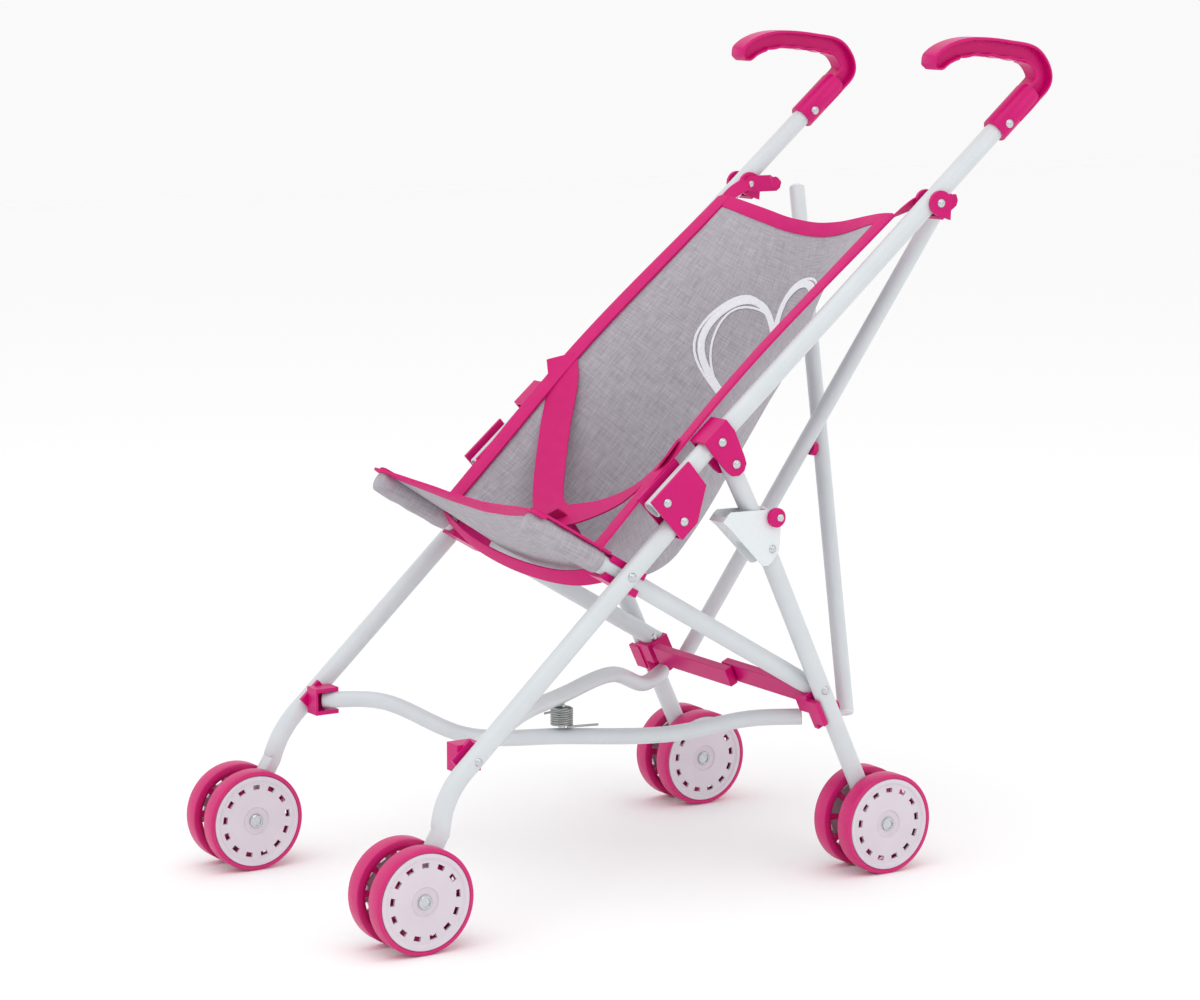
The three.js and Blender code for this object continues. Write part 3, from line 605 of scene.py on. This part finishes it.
for side, s in SIDES:
    for end, x, centre in (("front", FRONT_WHEEL_X, FRONT_AXLE), ("rear", REAR_WHEEL_X, REAR_AXLE)):
        for which, way in (("outer", s), ("inner", -s)):
            middle = at(s * x + way * TWIN, *centre)
            body = f"{side}_{end}_{which}_wheel"
            web = pierced_disc(WEB_RINGS, 10, 1, 0.74, -3.2, middle, way)
            make_piece(f"{body}_moulding", *merge(lathe(TREAD, middle, Vector((way, 0, 0)), 72),
                                                 lathe(HUB, middle, Vector((way, 0, 0)), 36), web),
                       body, "wheel_pink", wheel_pp, [body])
            disc = pierced_disc(DISC_RINGS, 13, 3, 0.44, 3.6, middle, way)
            make_piece(f"{side}_{end}_{which}_disc_moulding", *disc, body, "disc_white", disc_pp,
                       [f"{side}_{end}_{which}_disc"])
        caps = merge(*(lathe(AXLE_CAP, at(s * x + way * TWIN, *centre), Vector((way, 0, 0)), 28)
                       for way in (1, -1)))
        make_piece(f"{side}_{end}_axle_pin", *caps, f"{side}_{end}", "bright_steel", zinc,
                   [f"{side}_{end}_axle"])


# ---------------------------------------------------------------- folding link and spring
# Two pink moulded polypropylene arms meet in the middle and brace the rear legs apart. The
# zinc-plated bolt where the bottom braces cross carries a wound steel spring.
for side, s in SIDES:
    moulded(f"{side}_link_arm", f"{side}_link", "pink_plastic", pink_pp, 0.4)

# Spring steel: drawn wire, duller and darker than the rivets.
wire_steel, tree, shader = new_finish("drawn_spring_steel")
place = add_node(tree, "ShaderNodeTexCoord").outputs["Object"]
drawn = add_node(tree, "ShaderNodeTexNoise", {"Vector": place, "Scale": 900, "Detail": 2})
gloss = add_node(tree, "ShaderNodeMapRange", {"Value": drawn.outputs["Fac"], "To Min": 0.25, "To Max": 0.42})
tree.links.new(gloss.outputs["Result"], shader.inputs["Roughness"])
shader.inputs["Base Color"].default_value = linear("#a3a7a5")
shader.inputs["Metallic"].default_value = 1
CROSS_Y, SPRING_R, WIRE_R = -52, 7, 0.8
SPRING_FOOT, SPRING_PITCH, TURNS = 97.6, 1.55, 8
coil = [at(SPRING_R * math.cos(a), CROSS_Y + SPRING_R * math.sin(a),
           SPRING_FOOT + a / math.tau * SPRING_PITCH)
        for a in (math.tau * i / 24 for i in range(TURNS * 24 + 1))]
coil = [coil[0] + Vector((0.004, 0.022, 0)), coil[0] + Vector((0.001, 0.008, 0)), *coil,
        coil[-1] + Vector((0.001, -0.008, 0)), coil[-1] + Vector((0.004, -0.02, 0))]
ahead = tangents(coil)
wire = sweep([(p, t, WIRE_R / 1000) for p, t in zip(coil, ahead)], lambda r: circle(r, 10))
make_piece("cross_spring", *wire, "left_bottom_brace", "bright_steel", wire_steel, ["brace_spring"])
CROSS_BOLT = [(0, -8), (2.4, -8), (2.4, 8), (0, 8)]
make_piece("cross_bolt", *lathe(CROSS_BOLT, at(0, CROSS_Y, 104), Vector((0, 0, 1)), 24), "left_bottom_brace",
           "bright_steel", zinc, ["bottom_cross_bolt"])


# ---------------------------------------------------------------- sling seat
# Two panels of grey melange polyester canvas hang between the tubes: a long back that bellies
# out behind, and a short seat that rises to the front. They are seamed together behind.
# Woven melange canvas: matt, grey and lilac yarns mixed, with pale slubs. The yarns are 0.5 mm
# in truth, and drawn at 1.3 mm so that they show.
canvas, tree, shader = new_finish("woven_melange_polyester_canvas")
lie = add_node(tree, "ShaderNodeTexCoord").outputs["UV"]
warp = add_node(tree, "ShaderNodeTexWave", {"Vector": lie, "Scale": 240, "Distortion": 0.6, "Detail": 1},
                bands_direction="X")
weft = add_node(tree, "ShaderNodeTexWave", {"Vector": lie, "Scale": 240, "Distortion": 0.6, "Detail": 1},
                bands_direction="Y")
weave = add_node(tree, "ShaderNodeMath", {0: warp.outputs["Fac"], 1: weft.outputs["Fac"]},
                 operation="MULTIPLY")
long_lie = add_node(tree, "ShaderNodeMapping", {"Vector": lie, "Scale": (800, 70, 1)})
long_yarns = add_node(tree, "ShaderNodeTexNoise",
                      {"Vector": long_lie.outputs["Vector"], "Scale": 1, "Detail": 3})
cross_lie = add_node(tree, "ShaderNodeMapping", {"Vector": lie, "Scale": (70, 800, 1)})
cross_yarns = add_node(tree, "ShaderNodeTexNoise",
                       {"Vector": cross_lie.outputs["Vector"], "Scale": 1, "Detail": 3})
mixed = add_node(tree, "ShaderNodeMath", {0: long_yarns.outputs["Fac"], 1: cross_yarns.outputs["Fac"]},
                 operation="ADD")
spread = add_node(tree, "ShaderNodeMapRange",
                  {"Value": mixed.outputs["Value"], "From Min": 0.72, "From Max": 1.28})
yarn = add_node(tree, "ShaderNodeMix",
                {0: spread.outputs["Result"], 6: linear("#a19ba3"), 7: linear("#c2bec6")},
                data_type="RGBA")
# Painted shade: the gaps between the yarns are darkened towards #8d8791 where the weave is lowest.
painted_gap_shade = add_node(tree, "ShaderNodeMapRange", {"Value": weave.outputs["Value"], "To Min": 0.3, "To Max": 0})
cloth_colour = add_node(tree, "ShaderNodeMix",
                        {0: painted_gap_shade.outputs["Result"], 6: yarn.outputs[2], 7: linear("#8d8791")},
                        data_type="RGBA")
relief = add_node(tree, "ShaderNodeMath", {0: weave.outputs["Value"], 1: spread.outputs["Result"]},
                  operation="ADD")
raised = add_node(tree, "ShaderNodeBump",
                  {"Height": relief.outputs["Value"], "Strength": 0.35, "Distance": 0.0004})
tree.links.new(cloth_colour.outputs[2], shader.inputs["Base Color"])
tree.links.new(raised.outputs["Normal"], shader.inputs["Normal"])
shader.inputs["Roughness"].default_value = 0.88
shader.inputs["Sheen Weight"].default_value = 0.15
shader.inputs["Specular IOR Level"].default_value = 0.25

CLOTH_HALF = 102
BACK_SIDE = [(142.5, 438.5), (23.4, 340.8), (-86, 235)]
BACK_MIDDLE = [(151, 426), (138, 380), (124, 334), (101, 300), (78, 268), (58, 240), (38, 215),
               (25, 202), (8, 195), (-14, 194), (-38, 198)]
SEAT_SIDE = [(-133, 263), (-110, 248.5), (-84, 231)]
SEAT_MIDDLE = [(-118.5, 255), (-90, 224), (-60, 204), (-38, 197)]


def hung_cloth(side_line, middle_line, half, slack):
    """A function of (across, down), both 0 to 1, to a point of cloth slung between its edges."""
    edge = smooth_path([at(0, *p) for p in side_line], 60)
    centre = smooth_path([at(0, *p) for p in middle_line], 60)

    def point(across, down):
        place = min(max(down, 0), 1) * 60
        k = min(int(place), 59)
        a = edge[k].lerp(edge[k + 1], place - k)
        b = centre[k].lerp(centre[k + 1], place - k)
        u = across * 2 - 1
        p = a.lerp(b, max(1 - u * u, 0) ** 1.8)
        p.x = u * half / 1000
        p.y += folds(across, down, slack) / 1000
        return p
    return point


def folds(across, down, depth):
    """Soft slack folds in cloth, in mm, none at its side edges."""
    held = max(math.sin(math.pi * across), 0) ** 1.5
    return depth * held * (math.sin(9 * across + 3 * down) * (0.35 + down)
                           + 0.6 * math.sin(19 * across - 8 * down + 1.3) * down
                           + 0.35 * math.sin(31 * across + 11 * down))


def cloth_normal(surface, u, v):
    step = 0.004
    a = surface(min(u + step, 1), v) - surface(max(u - step, 0), v)
    b = surface(u, min(v + step, 1)) - surface(u, max(v - step, 0))
    n = a.cross(b).normalized()
    return -n if n.z < 0 or (n.z < 0.2 and n.y > 0) else n


def cloth_piece(name, surface, columns, rows, thick, body, stands_for, size):
    """Both faces and the edges of a cloth panel, with its flat cutting lines as UVs."""
    grid = [[(surface(j / columns, i / rows), cloth_normal(surface, j / columns, i / rows))
             for j in range(columns + 1)] for i in range(rows + 1)]
    vertices = []
    for sign in (1, -1):
        for row in grid:
            vertices += [p + n * (sign * thick / 2000) for p, n in row]
    wide = columns + 1
    under = wide * (rows + 1)
    faces = []
    for i in range(rows):
        for j in range(columns):
            quad = (i * wide + j, i * wide + j + 1, (i + 1) * wide + j + 1, (i + 1) * wide + j)
            faces += [quad, tuple(k + under for k in reversed(quad))]
    for i in range(rows):
        for j in (0, columns):
            a, b = i * wide + j, (i + 1) * wide + j
            faces.append((a, b, b + under, a + under))
    for j in range(columns):
        for i in (0, rows):
            a, b = i * wide + j, i * wide + j + 1
            faces.append((a, b, b + under, a + under))
    piece = make_piece(name, vertices, faces, body, "grey_fabric", canvas, stands_for, crease=80)
    flat = piece.data.uv_layers.new(name="cut")
    for loop in piece.data.loops:
        k = loop.vertex_index % under
        flat.data[loop.index].uv = (k % wide / columns * size[0], k // wide / rows * size[1])
    return piece


back_cloth = hung_cloth(BACK_SIDE, BACK_MIDDLE, CLOTH_HALF, 1.8)
seat_cloth = hung_cloth(SEAT_SIDE, SEAT_MIDDLE, CLOTH_HALF, 0.9)
back_panel = cloth_piece("back_panel", back_cloth, 48, 72, 1.0, "left_handle", ["backrest"], (0.25, 0.34))
seat_panel = cloth_piece("seat_panel", seat_cloth, 48, 24, 1.0, "left_rear", ["seat"], (0.22, 0.09))


# ---------------------------------------------------------------- binding and straps
# Pink polyester tape is folded over every raw edge of the cloth and stitched, and wider webbing
# makes the harness. Its fine cross ribs are 0.6 mm, drawn at 1.1 mm to show.
tape, tree, shader = new_finish("pink_woven_polyester_webbing")
lie = add_node(tree, "ShaderNodeTexCoord").outputs["UV"]
ribs = add_node(tree, "ShaderNodeTexWave", {"Vector": lie, "Scale": 285, "Distortion": 0.3, "Detail": 1},
                bands_direction="Y")
place = add_node(tree, "ShaderNodeTexCoord").outputs["Object"]
wear = add_node(tree, "ShaderNodeTexNoise", {"Vector": place, "Scale": 120, "Detail": 4})
tint = add_node(tree, "ShaderNodeMix", {0: wear.outputs["Fac"], 6: linear("#c80a6b"), 7: linear("#d81478")},
                data_type="RGBA")
shade = add_node(tree, "ShaderNodeMapRange", {"Value": ribs.outputs["Fac"], "To Min": 0.22, "To Max": 0})
tape_colour = add_node(tree, "ShaderNodeMix",
                       {0: shade.outputs["Result"], 6: tint.outputs[2], 7: linear("#a30a55")},
                       data_type="RGBA")
raised = add_node(tree, "ShaderNodeBump",
                  {"Height": ribs.outputs["Fac"], "Strength": 0.25, "Distance": 0.0003})
tree.links.new(tape_colour.outputs[2], shader.inputs["Base Color"])
tree.links.new(raised.outputs["Normal"], shader.inputs["Normal"])
shader.inputs["Roughness"].default_value = 0.62
shader.inputs["Specular IOR Level"].default_value = 0.3


def band(name, line, faces_out, width, thick, body, stands_for=(), slot="pink_webbing"):
    """A flat strap along a line of points. faces_out gives the way that its face looks at each."""
    steps = 5
    ahead = tangents(line)
    vertices, faces, uv = [], [], []
    run = 0
    for i, (p, t, out) in enumerate(zip(line, ahead, faces_out)):
        run += (p - line[i - 1]).length if i else 0
        across = t.cross(out).normalized()
        out = across.cross(t).normalized()
        for sign in (1, -1):
            for j in range(steps):
                u = j / (steps - 1) * 2 - 1
                lift = sign * thick / 2 * (1 - 0.35 * abs(u) ** 4) / 1000
                vertices.append(p + across * (u * sign * width / 2000) + out * lift)
                uv.append((u * sign * width / 2000, run))
    count = 2 * steps
    for i in range(len(line) - 1):
        faces += [(i * count + j, i * count + (j + 1) % count, (i + 1) * count + (j + 1) % count,
                   (i + 1) * count + j) for j in range(count)]
    faces += [tuple(range(count)), tuple(range((len(line) - 1) * count, len(line) * count))]
    piece = make_piece(name, vertices, faces, body, slot, tape, stands_for, crease=60)
    flat = piece.data.uv_layers.new(name="cut")
    for loop in piece.data.loops:
        flat.data[loop.index].uv = uv[loop.vertex_index]
    return piece


def edge_binding(name, surface, start, end, count, width, body, turned_to=(0, 0, 0)):
    """Tape folded over a cloth edge, from one (across, down) to another, and turned part of the
    way from the cloth's own lie towards turned_to."""
    line, out = [], []
    for i in range(count + 1):
        t = i / count
        u, v = start[0] + (end[0] - start[0]) * t, start[1] + (end[1] - start[1]) * t
        line.append(surface(u, v) + cloth_normal(surface, u, v) * 0.0004)
        out.append((cloth_normal(surface, u, v) + Vector(turned_to)).normalized())
    return band(name, line, out, width, 2.6, body)


RAIL_UP, OVER_SLEEVE = (0.513, 0.859), 8.4
soft = [back_panel, seat_panel]
for side, u, s in (("left", 0.98, 1), ("right", 0.02, -1)):
    soft.append(edge_binding(f"{side}_back_binding", back_cloth, (u, 0), (u, 1), 48, 13, "left_handle",
                             (0, -0.65, 0.76)))
    rail_line = []
    for i in range(17):
        y, z = along(RAIL_PIVOT, RAIL_ANGLE, 77 - 63 * i / 16)
        rail_line.append(at(s * (RAIL_X + 1.5), y + RAIL_UP[0] * OVER_SLEEVE, z + RAIL_UP[1] * OVER_SLEEVE))
    out = [Vector((0, *RAIL_UP))] * len(rail_line)
    soft.append(band(f"{side}_seat_binding", rail_line, out, 10, 2.4, f"{side}_rear"))
soft.append(edge_binding("top_binding", back_cloth, (0, 0.012), (1, 0.012), 40, 10, "left_handle"))
soft.append(edge_binding("front_binding", seat_cloth, (-0.025, 0.03), (1.025, 0.03), 40, 9.5, "left_rear"))


# ---------------------------------------------------------------- seat sleeves
# The sides of the seat panel are turned under and sewn into sleeves that slip over the front
# ends of the seat rails and hold the panel out.
for side, s in SIDES:
    start, end = along(RAIL_PIVOT, RAIL_ANGLE, 76.5), along(RAIL_PIVOT, RAIL_ANGLE, 17)
    path = straight(s * RAIL_X, start, s * RAIL_X, end)
    ahead = tangents(path)
    stations = [(path[0] - ahead[0] * 0.001, ahead[0], 0.0052), (path[0], ahead[0], 0.0072)]
    stations += [(p, t, 0.0078 + 0.0003 * math.sin(2.4 * i))
                 for i, (p, t) in enumerate(zip(path[1:], ahead[1:]))]
    stations += [(path[-1], ahead[-1], 0.0066), (path[-1] - ahead[-1] * 0.006, ahead[-1], 0.0066)]
    sleeve = make_piece(f"{side}_seat_sleeve", *sweep(stations, lambda r: circle(r, 24)), f"{side}_rear",
                        "grey_fabric", canvas, crease=70)
    flat = sleeve.data.uv_layers.new(name="cut")
    for loop in sleeve.data.loops:
        k = loop.vertex_index
        flat.data[loop.index].uv = (k % 24 * 0.002, k // 24 * 0.007)


# ---------------------------------------------------------------- harness
# One 22 mm strap of the same webbing comes down from each side binding to the middle of the
# seat, and a short strap joins them to the seat seam.
def strap_line(points, count):
    return smooth_path([at(*p) for p in points], count)


def facing(line, way):
    return [Vector(way)] * len(line)


far_line = strap_line([(-102, 10, 333), (-90, 4, 318), (-72, -14, 285), (-30, -44, 245), (2, -56, 239)], 28)
near_line = strap_line([(102, -30, 297), (90, -31, 285), (62, -38, 262), (30, -48, 247), (0, -54, 240)], 28)
seat_strap_line = strap_line([(0, -62, 243), (2, -50, 234), (4, -40, 216), (4, -38, 202)], 16)
soft += [
    band("right_shoulder_strap", far_line, facing(far_line, (0.45, -0.62, 0.64)), 22, 1.6, "left_rear",
         ["harness"]),
    band("left_shoulder_strap", near_line, facing(near_line, (-0.45, -0.62, 0.64)), 22, 1.6, "left_rear"),
    band("seat_strap", seat_strap_line, facing(seat_strap_line, (0, -0.9, 0.3)), 20, 1.6, "left_rear")]


# ---------------------------------------------------------------- corner loops and under-seat strap
# A loop of webbing ties each top corner of the back to its bracket, and a strap under the seat
# runs from rail to rail and carries the weight.
for side, s in SIDES:
    loop_line = strap_line([(s * x, y, z) for x, y, z in (
        (97, 140, 434), (99.5, 147, 439), (101, 154, 443), (101.5, 161, 446), (101.5, 166, 447))], 20)
    out = [Vector((-0.3 * s, -0.6, 0.75)).lerp(Vector((-s, -0.1, 0.3)), i / 20) for i in range(21)]
    soft.append(band(f"{side}_corner_loop", loop_line, out, 9, 1.4, f"{side}_handle"))
under_line = strap_line([(-92, -88, 230), (-50, -90, 218), (0, -84, 209), (50, -74, 208),
                         (93, -64, 219)], 28)
soft.append(band("under_seat_strap", under_line, facing(under_line, (0, -0.85, -0.5)), 12, 1.6, "left_rear"))


# ---------------------------------------------------------------- printed heart
# A generic heart outline in thick white screen-print ink, brushed in two loose strokes.
ink, tree, shader = new_finish("white_screen_print_ink")
place = add_node(tree, "ShaderNodeTexCoord").outputs["Object"]
worn = add_node(tree, "ShaderNodeTexNoise", {"Vector": place, "Scale": 500, "Detail": 4})
tint = add_node(tree, "ShaderNodeMix", {0: worn.outputs["Fac"], 6: linear("#dcdde4"), 7: linear("#f4f5f9")},
                data_type="RGBA")
tree.links.new(tint.outputs[2], shader.inputs["Base Color"])
shader.inputs["Roughness"].default_value = 0.7


HEART_TILT = math.radians(22)


def heart(turn, size, wobble):
    """A point of a heart outline, as (across, down) on the back cloth."""
    x = 16 * math.sin(turn) ** 3
    y = 13 * math.cos(turn) - 5 * math.cos(2 * turn) - 2 * math.cos(3 * turn) - math.cos(4 * turn)
    slip = wobble * math.sin(5 * turn + wobble)
    across = (x * math.cos(HEART_TILT) - y * math.sin(HEART_TILT)) * size + slip
    up = (x * math.sin(HEART_TILT) + y * math.cos(HEART_TILT)) * size + slip
    return 0.468 + across * 0.0135, 0.305 - up * 0.0122


for stroke, (size, wobble, width) in enumerate(((1.0, 0.25, 5.0), (1.06, 0.5, 1.9), (0.93, -0.45, 1.6))):
    outline = [heart(math.tau * (i / 90) + 0.12 * stroke, size, wobble) for i in range(88)]
    line = [back_cloth(u, v) + cloth_normal(back_cloth, u, v) * 0.0009 for u, v in outline]
    out = [cloth_normal(back_cloth, u, v) for u, v in outline]
    piece = band(f"printed_heart_stroke_{stroke + 1}", line, out, width, 0.3, "left_handle",
                 slot="grey_fabric")
    piece.data.materials[0] = ink
    soft.append(piece)

# Every soft piece but the right-hand rail binding and corner loop gets its own copy of its mesh. These two
# ride the right side itself.
for piece in soft:
    if piece.name.startswith(("right_seat", "right_corner")):
        continue
    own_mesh(piece)
